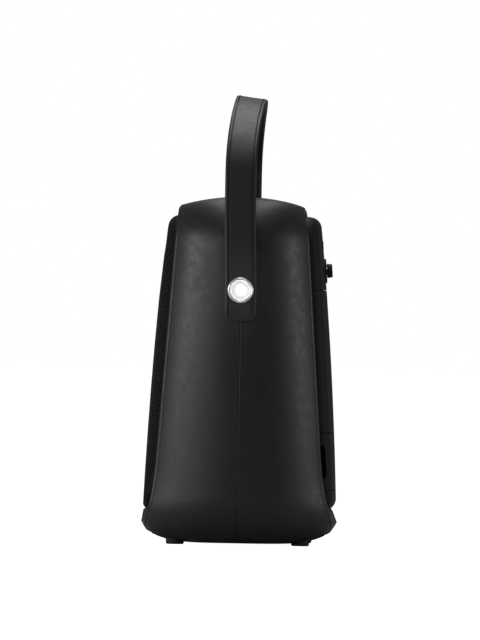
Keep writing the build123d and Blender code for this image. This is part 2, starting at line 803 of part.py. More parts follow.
with BuildPart() as volume_encoder:
    add(block(REAR, 0, KNOB_V, BOARD_FRONT, 3, 13, 12))
    add(peg(REAR, 0, KNOB_V, 3, BOSS_TOP - 0.4, BUSHING_R))
    add(peg(REAR, 0, KNOB_V, -1.2, 15, SHANK_R + RUNNING_GAP), mode=Mode.SUBTRACT)
save(volume_encoder.part, "volume_encoder")

for name, x in (("power_button", BUTTON_X), ("pairing_button", -BUTTON_X)):
    button = turned(
        REAR,
        x,
        BUTTON_V,
        [
            (0, 1.3),
            (1.5, 1.3),
            (1.5, 3.6),
            (BUTTON_FLANGE_R, 3.6),
            (BUTTON_FLANGE_R, 4.8),
            (BUTTON_R, 4.8),
            (BUTTON_R, BUTTON_FACE - 0.3),
            (BUTTON_R - 0.5, BUTTON_FACE),
            (0, BUTTON_FACE),
        ],
    )
    save(button, name)
with BuildPart() as button_switches:
    for x in (-BUTTON_X, BUTTON_X):
        add(block(REAR, x, BUTTON_V, BOARD_FRONT, -0.5, 6, 6))
        add(peg(REAR, x, BUTTON_V, -0.5, 0.2, 1.7))
save(button_switches.part, "button_switches")
status_lens = turned(
    REAR,
    0,
    BUTTON_V,
    [
        (0, BOARD_FRONT),
        (LENS_FLANGE_R, BOARD_FRONT),
        (LENS_FLANGE_R, -2.5),
        (LENS_R, -2.5),
        (LENS_R, LENS_FACE),
        (0, LENS_FACE),
    ],
)
save(status_lens, "status_lens")

with BuildPart() as aux_jack:
    add(block(REAR, JACK_X, KNOB_V, JACK_BODY_BACK, JACK_BODY_TOP, 11, 12))
    add(peg(REAR, JACK_X, KNOB_V, JACK_BODY_TOP, JACK_FACE, AUX_R))
    add(peg(REAR, JACK_X, KNOB_V, JACK_FACE - AUX_BORE_DEPTH, 12, AUX_BORE_R), mode=Mode.SUBTRACT)
save(aux_jack.part, "aux_jack")
with BuildPart() as power_jack:
    add(block(REAR, -JACK_X, KNOB_V, JACK_BODY_BACK, JACK_BODY_TOP, 12, 12))
    add(peg(REAR, -JACK_X, KNOB_V, JACK_BODY_TOP, JACK_FACE, POWER_R))
    add(peg(REAR, -JACK_X, KNOB_V, JACK_FACE - POWER_BORE_DEPTH, 12, POWER_BORE_R), mode=Mode.SUBTRACT)
    add(peg(REAR, -JACK_X, KNOB_V, JACK_FACE - POWER_BORE_DEPTH - 1, JACK_FACE - 1, POWER_PIN_R))
save(power_jack.part, "power_jack")

with BuildPart() as control_board:
    board_middle = (BOARD_LOW + BOARD_HIGH) / 2
    add(block(REAR, 0, board_middle, BOARD_BACK, BOARD_FRONT, BOARD_WIDTH, BOARD_HIGH - BOARD_LOW))
    for x in (-JACK_X, JACK_X):
        add(block(REAR, x, KNOB_V, -7, -3, 12.4, 12.4), mode=Mode.SUBTRACT)
    add(pegs(REAR, BOARD_POSTS, -7, -3, 1.2), mode=Mode.SUBTRACT)
save(control_board.part, "control_board")
save(screws(REAR, BOARD_POSTS, BOARD_FRONT, -11, 2.0, 0.95), "control_board_screws")

# Main board with its heat sink and capacitors, behind the chassis
with BuildPart() as main_board:
    main_middle = (MAIN_LOW + MAIN_HIGH) / 2
    add(block(REAR, 0, main_middle, MAIN_BACK, MAIN_FRONT, MAIN_WIDTH, MAIN_HIGH - MAIN_LOW))
    add(pegs(REAR, MAIN_POSTS, -22, -19, 1.4), mode=Mode.SUBTRACT)
save(main_board.part, "main_board")
save(screws(REAR, MAIN_POSTS, MAIN_BACK, -11, 2.4, 1.15), "main_board_screws")
with BuildPart() as heat_sink:
    fin_root = MAIN_BACK - SINK_BASE
    add(block(REAR, 0, SINK_V, fin_root, MAIN_BACK, SINK_WIDTH, SINK_HEIGHT))
    for step in range(FIN_COUNT):
        fin_x = (step - (FIN_COUNT - 1) / 2) * FIN_PITCH
        add(block(REAR, fin_x, SINK_V, MAIN_BACK - SINK_DEPTH, fin_root, 1.6, SINK_HEIGHT))
save(heat_sink.part, "heat_sink")
capacitor_places = [(x, CAPACITOR_V) for x in CAPACITOR_X]
save(pegs(REAR, capacitor_places, MAIN_BACK - CAPACITOR_LENGTH, MAIN_BACK, CAPACITOR_R), "capacitors")

# Battery, lifted out through the hatch
with BuildPart() as battery_pack:
    battery_back = BAY_DEPTH + CONTACT_HEIGHT
    add(block(REAR, 0, BAY_MIDDLE, battery_back, BATTERY_FRONT, 2 * BAY_HALF - 2, BAY_HEIGHT - 2))
    length = BATTERY_FRONT - battery_back
    fillet(battery_pack.edges().filter_by(lambda edge: abs(edge.length - length) < 0.1), BATTERY_R)
save(battery_pack.part, "battery_pack")
with BuildPart() as battery_contacts:
    for x in (-30, -22, -14):
        add(block(REAR, x, BAY_MIDDLE, BAY_DEPTH, BAY_DEPTH + CONTACT_HEIGHT, 4, 12))
save(battery_contacts.part, "battery_contacts")

# Strap: one leather band from stud to stud
with BuildPart() as strap:
    with BuildSketch(Plane.XZ):
        with BuildLine():
            outer_arch = EllipticalCenterArc(
                (0, STRAP_BEND_Z), STRAP_OUTER, STRAP_TOP_Z - STRAP_BEND_Z, start_angle=0, arc_size=180
            )
            inner_arch = EllipticalCenterArc(
                (0, STRAP_BEND_Z),
                STRAP_INNER,
                STRAP_TOP_Z - STRAP_BEND_Z - STRAP_THICKNESS,
                start_angle=0,
                arc_size=180,
            )
            for x_sign in (1, -1):
                Polyline(
                    (x_sign * STRAP_OUTER, STRAP_BEND_Z),
                    (x_sign * STRAP_OUTER, STRAP_END_Z),
                    (x_sign * STRAP_INNER, STRAP_END_Z),
                    (x_sign * STRAP_INNER, STRAP_BEND_Z),
                )
        make_face()
    extrude(amount=STRAP_WIDTH / 2, both=True)
    fillet(strap.edges().filter_by(Axis.X).group_by(Axis.Z)[0], STRAP_END_R)
    with Locations(Plane(origin=(0, 0, STUD_Z), z_dir=(1, 0, 0))):
        Cylinder(SHOULDER_R + RUNNING_GAP, 220, mode=Mode.SUBTRACT)
save(strap.part, "strap")


def on_strap_axis(profile):
    """Pair of solids turned about the studs' axis, from radius and distance out along X."""
    with BuildPart() as one:
        with BuildSketch(Plane(origin=(0, 0, STUD_Z), x_dir=(0, 0, 1), z_dir=(0, -1, 0))):
            with BuildLine():
                Polyline(*profile, close=True)
            make_face()
        revolve(axis=Axis((0, 0, STUD_Z), (1, 0, 0)))
    with BuildPart() as pair:
        add(one.part)
        mirror(about=Plane.YZ)
    return pair.part


strap_studs = on_strap_axis(
    [
        (0, SHANK_END),
        (SHANK_R, SHANK_END),
        (SHANK_R, SEAT_X),
        (SHOULDER_R, SEAT_X),
        (SHOULDER_R, HEAD_FOOT),
        (STUD_R, HEAD_FOOT),
        (STUD_R, HEAD_FOOT + 1.6),
        (STUD_R - 0.8, HEAD_FACE),
        (STUD_R - 1.6, HEAD_FACE - 0.4),
        (0, HEAD_FACE),
    ]
)
save(strap_studs, "strap_studs")


def ring_pair(inner_radius, outer_radius, near, far):
    """Pair of flat rings on the studs' axis."""
    return on_strap_axis(
        [(inner_radius, near), (outer_radius, near), (outer_radius, far), (inner_radius, far)]
    )


save(ring_pair(SHOULDER_R + RUNNING_GAP, WASHER_R, SEAT_X, STRAP_INNER), "strap_washers")
save(ring_pair(SHANK_R + FIT, ANCHOR_R, ANCHOR_BACK, ANCHOR_FACE), "strap_anchors")
save(ring_pair(SHANK_R, NUT_R, NUT_BACK, ANCHOR_BACK), "anchor_nuts")
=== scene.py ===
import json
import math

import bmesh
import bpy
import numpy as np
from mathutils import Matrix, Vector


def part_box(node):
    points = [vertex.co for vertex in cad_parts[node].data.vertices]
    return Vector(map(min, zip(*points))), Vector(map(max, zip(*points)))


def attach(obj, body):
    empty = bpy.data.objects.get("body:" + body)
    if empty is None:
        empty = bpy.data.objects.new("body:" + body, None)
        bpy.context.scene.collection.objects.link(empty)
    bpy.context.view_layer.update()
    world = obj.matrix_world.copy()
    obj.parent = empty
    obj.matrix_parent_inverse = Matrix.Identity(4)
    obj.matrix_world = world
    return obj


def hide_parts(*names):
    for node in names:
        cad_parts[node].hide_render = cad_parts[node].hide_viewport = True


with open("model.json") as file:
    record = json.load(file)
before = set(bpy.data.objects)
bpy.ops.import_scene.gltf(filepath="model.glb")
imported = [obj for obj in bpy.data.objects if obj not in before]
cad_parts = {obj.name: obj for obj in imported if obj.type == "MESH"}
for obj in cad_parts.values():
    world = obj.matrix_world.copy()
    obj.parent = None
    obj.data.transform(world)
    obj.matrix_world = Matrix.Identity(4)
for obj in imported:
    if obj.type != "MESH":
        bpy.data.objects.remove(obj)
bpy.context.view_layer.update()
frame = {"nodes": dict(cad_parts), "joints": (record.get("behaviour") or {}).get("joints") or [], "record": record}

# Portable loudspeaker with a strap handle. Lengths are millimetres unless a name or a comment says otherwise;
# every mesh is written in metres, in the axes of the frame: the grille faces -Y and the controls face +Y.
MM = 0.001
FRONT = -1
REAR = 1
JOINTS = {joint["name"]: joint for joint in frame["joints"]}

# ---------------------------------------------------------------- cabinet shape, as in the CAD
SEAT_RISE = 0.6  # the strap's seats stand out of the belly
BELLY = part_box("front_shell")[1].x / MM - SEAT_RISE
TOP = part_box("front_shell")[1].z / MM
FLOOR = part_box("front_shell")[0].z / MM
LIP_REACH = -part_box("front_shell")[0].y / MM
STUD_Z = JOINTS["strap_swing"]["pos_m"][2] / MM
SIDE_BULGE = 26.0
BULGE_SQUARE = 0.57  # share of the bulge that goes with the square of the way out
BULGE_FOURTH = 0.43  # share that goes with its fourth power
BASE_DEPTH = 61.5
EDGE_LEAN = math.radians(4.05)
TOP_DROP = 6.0
FLOOR_RISE = 6.5
FLOOR_POWER = 5
CORNER_R = 32.0
CORNER_R_LOSS = 8.0
WALL = 6.0
OPENING_HALF = BELLY - SIDE_BULGE - WALL
OPENING_TOP = 230.0
OPENING_FLOOR = 24.0
OPENING_TOP_R = 18.0
OPENING_FLOOR_R = 15.0

# Points on each stretch of an outline
HALF_TOP_STEPS = 10
ARC_STEPS = 14
SIDE_STEPS = 34
FLOOR_STEPS = 24


def outline(half, top, floor, top_r, floor_r):
    """Points (x, v) round an upright rectangle with round corners, clockwise from the middle of its top."""
    stretches = []

    def line(start, end, count):
        share = np.arange(count)[:, None] / count
        stretches.append(np.array(start) + (np.array(end) - np.array(start)) * share)

    def arc(x, v, radius, start):
        angle = np.radians(start - 90 * np.arange(ARC_STEPS) / ARC_STEPS)
        stretches.append(np.stack([x + radius * np.cos(angle), v + radius * np.sin(angle)], 1))

    line((0, top), (half - top_r, top), HALF_TOP_STEPS)
    arc(half - top_r, top - top_r, top_r, 90)
    line((half, top - top_r), (half, floor + floor_r), SIDE_STEPS)
    arc(half - floor_r, floor + floor_r, floor_r, 0)
    line((half - floor_r, floor), (floor_r - half, floor), FLOOR_STEPS)
    arc(floor_r - half, floor + floor_r, floor_r, -90)
    line((-half, floor + floor_r), (-half, top - top_r), SIDE_STEPS)
    arc(top_r - half, top - top_r, top_r, 180)
    line((top_r - half, top), (0, top), HALF_TOP_STEPS)
    return np.concatenate(stretches)


def cabinet_outline(share, inset=0.0):
    """Outline of the cabinet in the slice at a share of the way from its middle to an edge."""
    radius = CORNER_R - CORNER_R_LOSS * share**2 - inset
    return outline(
        BELLY - SIDE_BULGE * (BULGE_SQUARE * share**2 + BULGE_FOURTH * share**4) - inset,
        TOP - TOP_DROP * share**2 - inset,
        FLOOR + FLOOR_RISE * share**FLOOR_POWER + inset,
        radius,
        radius,
    )


def opening_outline(inset, radius_loss=0.0):
    """Outline of the opening of a shell, drawn in by an inset."""
    return outline(
        OPENING_HALF - inset,
        OPENING_TOP - inset,
        OPENING_FLOOR + inset,
        OPENING_TOP_R - radius_loss,
        OPENING_FLOOR_R - radius_loss,
    )


def on_slice(points, share, side):
    """Slice points to the frame's axes."""
    lean = EDGE_LEAN * share
    x, v = points[:, 0], points[:, 1]
    return np.stack([x, side * (BASE_DEPTH * share - math.sin(lean) * v), math.cos(lean) * v], 1)


def on_face(points, height, side):
    """Points of a leaning face, raised outwards by a height, to the frame's axes."""
    x, v = points[:, 0], points[:, 1]
    y = BASE_DEPTH - math.sin(EDGE_LEAN) * v + math.cos(EDGE_LEAN) * height
    z = math.cos(EDGE_LEAN) * v + math.sin(EDGE_LEAN) * height
    return np.stack([x, side * y, z], 1)


def smooth_step(value, low, high):
    share = np.clip((value - low) / (high - low), 0, 1)
    return share * share * (3 - 2 * share)


# ---------------------------------------------------------------- mesh helpers
def make_object(name, points, faces, material):
    """Mesh object from points in millimetres."""
    mesh = bpy.data.meshes.new(name)
    mesh.from_pydata((np.asarray(points) * MM).tolist(), [], [list(map(int, face)) for face in faces])
    mesh.validate()
    mesh.update()
    made = bpy.data.objects.new(name, mesh)
    bpy.context.scene.collection.objects.link(made)
    mesh.materials.append(material)
    mesh.shade_smooth()
    return made


def grid_faces(rows, columns, closed_columns=True, closed_rows=False, start=0):
    """Quads between rows of points."""
    faces = []
    for r in range(rows if closed_rows else rows - 1):
        for c in range(columns if closed_columns else columns - 1):
            a = start + r * columns + c
            b = start + r * columns + (c + 1) % columns
            below = ((r + 1) % rows) * columns
            faces.append((a, b, start + below + (c + 1) % columns, start + below + c))
    return faces


def turned(name, profile, centre, axis, material, count):
    """Solid of revolution from (radius, height) pairs that start and end on the axis."""
    axis = Vector(axis).normalized()
    across = axis.orthogonal().normalized()
    third = axis.cross(across)
    points = []
    inner = profile[1:-1]
    for radius, height in inner:
        for step in range(count):
            angle = 2 * math.pi * step / count
            spoke = across * math.cos(angle) + third * math.sin(angle)
            points.append(Vector(centre) + axis * height + spoke * radius)
    faces = grid_faces(len(inner), count)
    for end, ring in ((profile[0], 0), (profile[-1], len(inner) - 1)):
        points.append(Vector(centre) + axis * end[1])
        tip = len(points) - 1
        for step in range(count):
            pair = (ring * count + step, ring * count + (step + 1) % count)
            faces.append((tip, *(pair if ring else pair[::-1])))
    made = make_object(name, points, faces, material)
    fix_normals(made)
    return made


def fix_normals(made):
    """All faces outwards."""
    work = bmesh.new()
    work.from_mesh(made.data)
    bmesh.ops.recalc_face_normals(work, faces=work.faces)
    work.to_mesh(made.data)
    work.free()


# ---------------------------------------------------------------- materials
def new_material(name, colour, roughness, metallic=0.0, specular=0.5):
    """Principled material and its nodes."""
    material = bpy.data.materials.new(name)
    material.use_nodes = True
    shader = material.node_tree.nodes["Principled BSDF"]
    shader.inputs["Base Color"].default_value = (*colour, 1)
    shader.inputs["Roughness"].default_value = roughness
    shader.inputs["Metallic"].default_value = metallic
    shader.inputs["Specular IOR Level"].default_value = specular
    return material, material.node_tree.nodes, material.node_tree.links, shader


def noise(nodes, links, scale, detail, kind="ShaderNodeTexNoise"):
    """Noise or cells in the object's own space, which has the frame's axes."""
    place = nodes.new("ShaderNodeTexCoord")
    texture = nodes.new(kind)
    texture.inputs["Scale"].default_value = scale
    if kind == "ShaderNodeTexNoise":
        texture.inputs["Detail"].default_value = detail
    links.new(place.outputs["Object"], texture.inputs["Vector"])
    return texture


def add_bump(nodes, links, shader, source, strength, distance, before=None):
    """Fine relief on a shader, on top of the relief before it."""
    bump = nodes.new("ShaderNodeBump")
    bump.inputs["Strength"].default_value = strength
    bump.inputs["Distance"].default_value = distance * MM
    links.new(source, bump.inputs["Height"])
    if before is not None:
        links.new(before.outputs["Normal"], bump.inputs["Normal"])
    links.new(bump.outputs["Normal"], shader.inputs["Normal"])
    return bump


def vary(nodes, links, source, low, high, target):
    """Spread a value that runs from 0 to 1 between two limits on an input."""
    spread = nodes.new("ShaderNodeMapRange")
    spread.inputs["To Min"].default_value = low
    spread.inputs["To Max"].default_value = high
    links.new(source, spread.inputs["Value"])
    links.new(spread.outputs["Result"], target)


def tint(nodes, links, source, dark, light, target):
    """Spread a texture's value between two colours."""
    ramp = nodes.new("ShaderNodeValToRGB")
    for element, position, colour in zip(ramp.color_ramp.elements, (0.35, 0.68), (dark, light)):
        element.position = position
        element.color = (*colour, 1)
    links.new(source, ramp.inputs["Fac"])
    links.new(ramp.outputs["Color"], target)


def leather(name, dark, light, roughness, grain, strength):
    """Grained leather: pebbles, fine pores, a mottled sheen and a slow change of colour."""
    material, nodes, links, shader = new_material(name, light, roughness, specular=0.42)
    cells = noise(nodes, links, grain, 0, "ShaderNodeTexVoronoi")
    pores = noise(nodes, links, grain * 2.2, 3)
    slow = noise(nodes, links, 14, 4)
    mottle = noise(nodes, links, 190, 4)
    tint(nodes, links, slow.outputs["Fac"], dark, light, shader.inputs["Base Color"])
    vary(nodes, links, mottle.outputs["Fac"], roughness - 0.12, roughness + 0.12, shader.inputs["Roughness"])
    coarse = add_bump(nodes, links, shader, cells.outputs["Distance"], strength, 0.12)
    add_bump(nodes, links, shader, pores.outputs["Fac"], strength * 0.6, 0.05, coarse)
    return material


def moulding(name, colour, roughness, grain=1500, strength=0.25, specular=0.5):
    """Plain surface, such as plastic, rubber or paint, with a fine grain and an uneven sheen."""
    material, nodes, links, shader = new_material(name, colour, roughness, specular=specular)
    fine = noise(nodes, links, grain, 2)
    slow = noise(nodes, links, 20, 3)
    vary(nodes, links, slow.outputs["Fac"], roughness - 0.05, roughness + 0.06, shader.inputs["Roughness"])
    add_bump(nodes, links, shader, fine.outputs["Fac"], strength, 0.03)
    return material


def metal(name, colour, roughness, streak=0.08):
    """Metal with fine wear in its sheen."""
    material, nodes, links, shader = new_material(name, colour, roughness, metallic=1.0)
    wear = noise(nodes, links, 900, 4)
    sheen = shader.inputs["Roughness"]
    vary(nodes, links, wear.outputs["Fac"], roughness - streak, roughness + streak, sheen)
    add_bump(nodes, links, shader, wear.outputs["Fac"], 0.08, 0.01)
    return material


MATERIALS = {
    "black_leatherette": leather(
        "black_leatherette", (0.009, 0.009, 0.0092), (0.0125, 0.0125, 0.0128), 0.43, 1100, 0.3
    ),
    "black_leather": leather(
        "black_leather", (0.008, 0.0078, 0.0077), (0.012, 0.0118, 0.0116), 0.5, 1500, 0.2
    ),
    "satin_nickel": metal("satin_nickel", (0.78, 0.78, 0.77), 0.34, 0.04),
    "black_rubber": moulding("black_rubber", (0.012, 0.012, 0.012), 0.8, 900, 0.4),
    "black_perforated_steel": moulding(
        "black_perforated_steel", (0.006, 0.006, 0.0062), 0.62, 2500, 0.1, 0.2
    ),
    "black_plastic": moulding("black_plastic", (0.008, 0.008, 0.0082), 0.62, specular=0.18),
    "screw_steel": metal("screw_steel", (0.5, 0.51, 0.53), 0.35),
    "nylon": moulding("nylon", (0.02, 0.02, 0.02), 0.5),
    "pressed_steel": moulding("pressed_steel", (0.02, 0.02, 0.02), 0.45),
    "ferrite": moulding("ferrite", (0.03, 0.03, 0.032), 0.75, 600, 0.5),
    "paper_cone": moulding("paper_cone", (0.03, 0.03, 0.03), 0.85, 700, 0.6),
    "coil_copper": metal("coil_copper", (0.75, 0.35, 0.18), 0.35),
    "silk_dome": moulding("silk_dome", (0.03, 0.03, 0.031), 0.7, 1800, 0.5),
    "clear_lens": moulding("clear_lens", (0.55, 0.57, 0.6), 0.15, 800, 0.02),
    "board_green": moulding("board_green", (0.01, 0.07, 0.03), 0.4),
    "sink_aluminium": metal("sink_aluminium", (0.6, 0.61, 0.62), 0.38),
    "capacitor_sleeve": moulding("capacitor_sleeve", (0.02, 0.025, 0.08), 0.35),
    "battery_wrap": moulding("battery_wrap", (0.03, 0.06, 0.2), 0.35),
    "contact_brass": metal("contact_brass", (0.8, 0.6, 0.28), 0.3),
    # Painted shade: near-black, matte sheet behind the grille, standing in for the dark inside of the cabinet
    "painted_shade_sheet": moulding("painted_shade_sheet", (0.003, 0.003, 0.003), 0.95, 1400, 0.4, 0.1),
    "black_thread": moulding("black_thread", (0.0015, 0.0015, 0.0015), 0.85, 3000, 0.5, 0.05),
}
SLOTS = {part["node"]: part["material_slot"] for part in frame["record"]["subparts"]}
for node, cad in frame["nodes"].items():
    cad.data.materials.clear()
    cad.data.materials.append(MATERIALS[SLOTS[node]])


def finish_piece(made, slot, body, *nodes):
    """Give a piece its body and let it stand for CAD nodes; the slot is not used."""
    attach(made, body)
    if nodes:
        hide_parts(*nodes)
    return made


# ---------------------------------------------------------------- wrapped shells
SHARES = np.concatenate([np.linspace(0.02, 0.9, 34), np.linspace(0.92, 0.972, 5)])
SEAM_TUCK = ((0.03, 1.0), (0.05, 0.45), (0.12, 0.16), (0.3, 0.02), (0.62, -0.06))  # from the seam, and inset
RIM_R = 2.2
INNER_RIM = 0.6  # radius of the rim's inner edge as a share of the outer one
RIM_ANGLES = tuple(math.radians(angle) for angle in (12, 30, 50, 70, 90))
RIM_SHARES = (0.1, 0.2, 0.3, 0.4, 0.5, 0.6, 0.75, 0.88)
WALL_DEPTHS = (-2.0, -4.5, -7.5)
LEDGE_FRONT = -13.0
LEDGE_BACK = -17.0
LEDGE_WIDTH = 11.0
LEDGE_R_LOSS = 8.0

# The shell's edge sweeps out near the ground and ends in a lip
FLARE_TOP = 58.0
FLARE_TIP = 15.0
FLARE_START = 0.55  # share of the depth where the side begins to follow the edge
FLARE_POWER = 2.4
LIP_HEIGHT = LIP_REACH - (BASE_DEPTH - FLARE_TIP * math.tan(EDGE_LEAN))
CREST_FALL = 0.12
CREST_INNER = 46.0
CREST_OUTER = 60.0
UNDERSIDE_V = (6.4, 7.7, 9.2, 12.0, FLARE_TIP)
UNDERSIDE_SHARES = (0.0, 0.16, 0.44, 0.76, 1.0)
CORNER_LOSS = {FRONT: 0.34, REAR: 0.26}
CORNER_INNER = 38.0
CORNER_OUTER = 66.0
REAR_TUCK = 2.4  # the rear edge stands in at its top
TUCK_LOW = 212.0
TUCK_HIGH = 236.0


def flare(points, side):
    """How far the shell's edge stands out of its plane: the sweep to the lip and the tuck at the rear top."""
    x, v = points[:, 0], points[:, 1]
    sweep = LIP_HEIGHT * np.clip((FLARE_TOP - v) / (FLARE_TOP - FLARE_TIP), 0, 1) ** 2
    if side == FRONT:
        middle = 1 - smooth_step(np.abs(x), CREST_INNER, CREST_OUTER)
        crest = LIP_HEIGHT * (1 - CREST_FALL * (v - FLARE_TIP) / (OPENING_FLOOR - FLARE_TIP))
        raised = sweep + (np.maximum(crest, sweep) - sweep) * middle
        sweep = np.where(v < OPENING_FLOOR + 0.1, raised, sweep)
    underside = LIP_HEIGHT * np.interp(v, UNDERSIDE_V, UNDERSIDE_SHARES)
    corner = 1 - CORNER_LOSS[side] * smooth_step(np.abs(x), CORNER_INNER, CORNER_OUTER)
    sweep = np.where(v < FLARE_TIP, underside, sweep) * corner
    if side == REAR:
        sweep = sweep - REAR_TUCK * smooth_step(v, TUCK_LOW, TUCK_HIGH)
    return sweep


def rim_steps(gap):
    """Distance in from the outside and height of each ring over the rim, whose two edges are rounded."""
    turns = [(1 - math.cos(angle), math.sin(angle) - 1) for angle in RIM_ANGLES]
    steps = [(RIM_R * across, RIM_R * drop) for across, drop in turns]
    steps += [(RIM_R + (gap - (1 + INNER_RIM) * RIM_R) * share, 0.0) for share in RIM_SHARES]
    steps += [(gap - INNER_RIM * RIM_R * across, INNER_RIM * RIM_R * drop) for across, drop in turns[::-1]]
    return steps


def shell_half(name, side, node):
    """Half of the cabinet: tucked seam, wrapped outside, rim, and the wall and ledge of the opening."""
    rows = [on_slice(cabinet_outline(y / BASE_DEPTH, inset), y / BASE_DEPTH, side) for y, inset in SEAM_TUCK]
    for share in SHARES:
        ring = cabinet_outline(share)
        follow = max(0.0, (share - FLARE_START) / (1 - FLARE_START)) ** FLARE_POWER
        laid = on_slice(ring, share, side)
        laid[:, 1] += side * flare(ring, side) * follow
        rows.append(laid)
    outer = cabinet_outline(1.0)
    inner = opening_outline(0.0)
    gap = np.linalg.norm(inner - outer, axis=1)
    for across, height in rim_steps(gap):
        points = outer + (inner - outer) * (across / gap)[:, None]
        rows.append(on_face(points, height + flare(points, side), side))
    rows += [on_face(inner, depth, side) for depth in (*WALL_DEPTHS, LEDGE_FRONT)]
    ledge = opening_outline(LEDGE_WIDTH, LEDGE_R_LOSS)
    rows += [on_face(ledge, depth, side) for depth in (LEDGE_FRONT, LEDGE_BACK)]
    faces = grid_faces(len(rows), len(outer))
    made = make_object(name, np.concatenate(rows), faces, MATERIALS["black_leatherette"])
    fix_normals(made)
    return finish_piece(made, "black_leatherette", "cabinet", node)


shell_half("front_leather_shell", FRONT, "front_shell")
shell_half("rear_leather_shell", REAR, "rear_shell")

# ---------------------------------------------------------------- grille
COVER_GAP = 0.4
COVER_R = 8.0
LOW_COVER_R = 3.2
LOW_COVER_START = 4.0  # the rolled rim is tighter below; heights over the foot of the mesh
LOW_COVER_END = 30.0
MESH_HALF = OPENING_HALF - COVER_GAP
MESH_TOP = OPENING_TOP - COVER_GAP
MESH_FLOOR = OPENING_FLOOR + COVER_GAP
MESH_TOP_R = OPENING_TOP_R - COVER_GAP
MESH_FLOOR_R = OPENING_FLOOR_R - COVER_GAP
MESH_MIDDLE = (MESH_TOP + MESH_FLOOR) / 2
UNROLLED = COVER_R * (math.pi / 2 - 1)  # how much the rolled rim adds to the flat pattern
BOW_EDGE = 6.2
BOW_V = (23, 50, 80, 110, 140, 170, 200, 232)
BOW = (7.6, 8.53, 9.2, 9.58, 9.67, 9.4, 8.4, 5.4)
HOLE_PITCH = 2.0
HOLE_R = 0.64
HOLE_DEPTH = 0.7
HOLE_CORNERS = 12
PLAIN_EDGE = 1.7
PLAIN_RIM = (  # distance in from the edge, and lift off the sheet
    (-0.6, 0.1), (0.0, 0.12), (0.5, 0.12), (1.0, 0.12), (1.6, 0.12), (2.3, 0.11), (2.5, -0.1),
)
RIM_TAIL = 0.6
# Painted shade behind the grille: a near-black sheet, set in from the mesh's edge by a gap and drawn in rings
PAINTED_SHADE_GAP = 0.3
PAINTED_SHADE_SHARES = (
    1.0, 0.985, 0.97, 0.955, 0.94, 0.92, 0.9, 0.86, 0.8, 0.72, 0.63, 0.54, 0.44, 0.34, 0.24, 0.14, 0.05,
)


def bow_height(x, v):
    """Height of the bowed cover over the plane of the shell edge, before its rim is rounded."""
    return BOW_EDGE + (np.interp(v, BOW_V, BOW) - BOW_EDGE) * (1 - (x / MESH_HALF) ** 2)


def pattern_outline(grow, radius_grow):
    """Outline of the mesh's flat pattern: the mesh's own outline grown on all sides."""
    return outline(
        MESH_HALF + grow,
        MESH_TOP + grow,
        MESH_FLOOR - grow,
        MESH_TOP_R + radius_grow,
        MESH_FLOOR_R + radius_grow,
    )


def edge_distance(points):
    """Distance in from the unrolled edge of the mesh, and the direction inwards."""
    def signed(p):
        radius = np.where(p[:, 1] > MESH_MIDDLE, MESH_TOP_R, MESH_FLOOR_R) + UNROLLED
        half_x = MESH_HALF + UNROLLED - radius
        half_v = (MESH_TOP - MESH_FLOOR) / 2 + UNROLLED - radius
        q_x = np.abs(p[:, 0]) - half_x
        q_v = np.abs(p[:, 1] - MESH_MIDDLE) - half_v
        outside = np.hypot(np.maximum(q_x, 0), np.maximum(q_v, 0))
        return radius - outside - np.minimum(np.maximum(q_x, q_v), 0)

    step = 0.01
    distance = signed(points)
    slope_x = signed(points + (step, 0)) - signed(points - (step, 0))
    slope_v = signed(points + (0, step)) - signed(points - (0, step))
    inwards = np.stack([slope_x, slope_v], 1)
    inwards /= np.maximum(np.linalg.norm(inwards, axis=1), 1e-9)[:, None]
    return distance, inwards


def roll_up(points, lift=0.0):
    """Flat pattern points laid on the bowed mesh with its rim rolled back, lifted off the sheet."""
    distance, inwards = edge_distance(points)
    upper = smooth_step(points[:, 1], MESH_FLOOR + LOW_COVER_START, MESH_FLOOR + LOW_COVER_END)
    radius = COVER_R - (COVER_R - LOW_COVER_R) * (1 - upper)
    pattern = COVER_R * math.pi / 2
    squeeze = (radius * math.pi / 2 + COVER_R - radius) / pattern
    along = np.where(distance < pattern, distance * squeeze, distance - pattern * (1 - squeeze))
    angle = np.clip(along / radius, 0, math.pi / 2)
    past_rim = along - radius * (math.pi / 2 - 1)
    depth = np.where(along < radius * math.pi / 2, radius * (1 - np.cos(angle)), past_rim)
    flat = points + inwards * (depth - distance + UNROLLED)[:, None]
    height = bow_height(flat[:, 0], flat[:, 1]) - radius * (1 - np.sin(angle))
    flat = flat - inwards * (lift * np.cos(angle))[:, None]
    return on_face(flat, height + lift * np.sin(angle), FRONT)


def hole_centres():
    """Staggered rows of holes that keep clear of the plain edge."""
    columns = int(2 * (MESH_HALF + UNROLLED) / HOLE_PITCH) + 2
    row_step = HOLE_PITCH * math.sqrt(3) / 2
    rows = int((MESH_TOP - MESH_FLOOR + 2 * UNROLLED) / row_step) + 2
    centres = []
    for row in range(rows):
        v = MESH_FLOOR - UNROLLED + row * row_step
        shift = HOLE_PITCH / 2 if row % 2 else 0.0
        centres += [((column - columns // 2) * HOLE_PITCH + shift, v) for column in range(columns)]
    centres = np.array(centres)
    return centres[edge_distance(centres)[0] > PLAIN_EDGE]


def circle_points(centres, count, radius):
    """Points on a circle round every centre."""
    angle = np.radians(30 + 360 / count * np.arange(count))
    return centres[:, None, :] + radius * np.stack([np.cos(angle), np.sin(angle)], 1)[None]


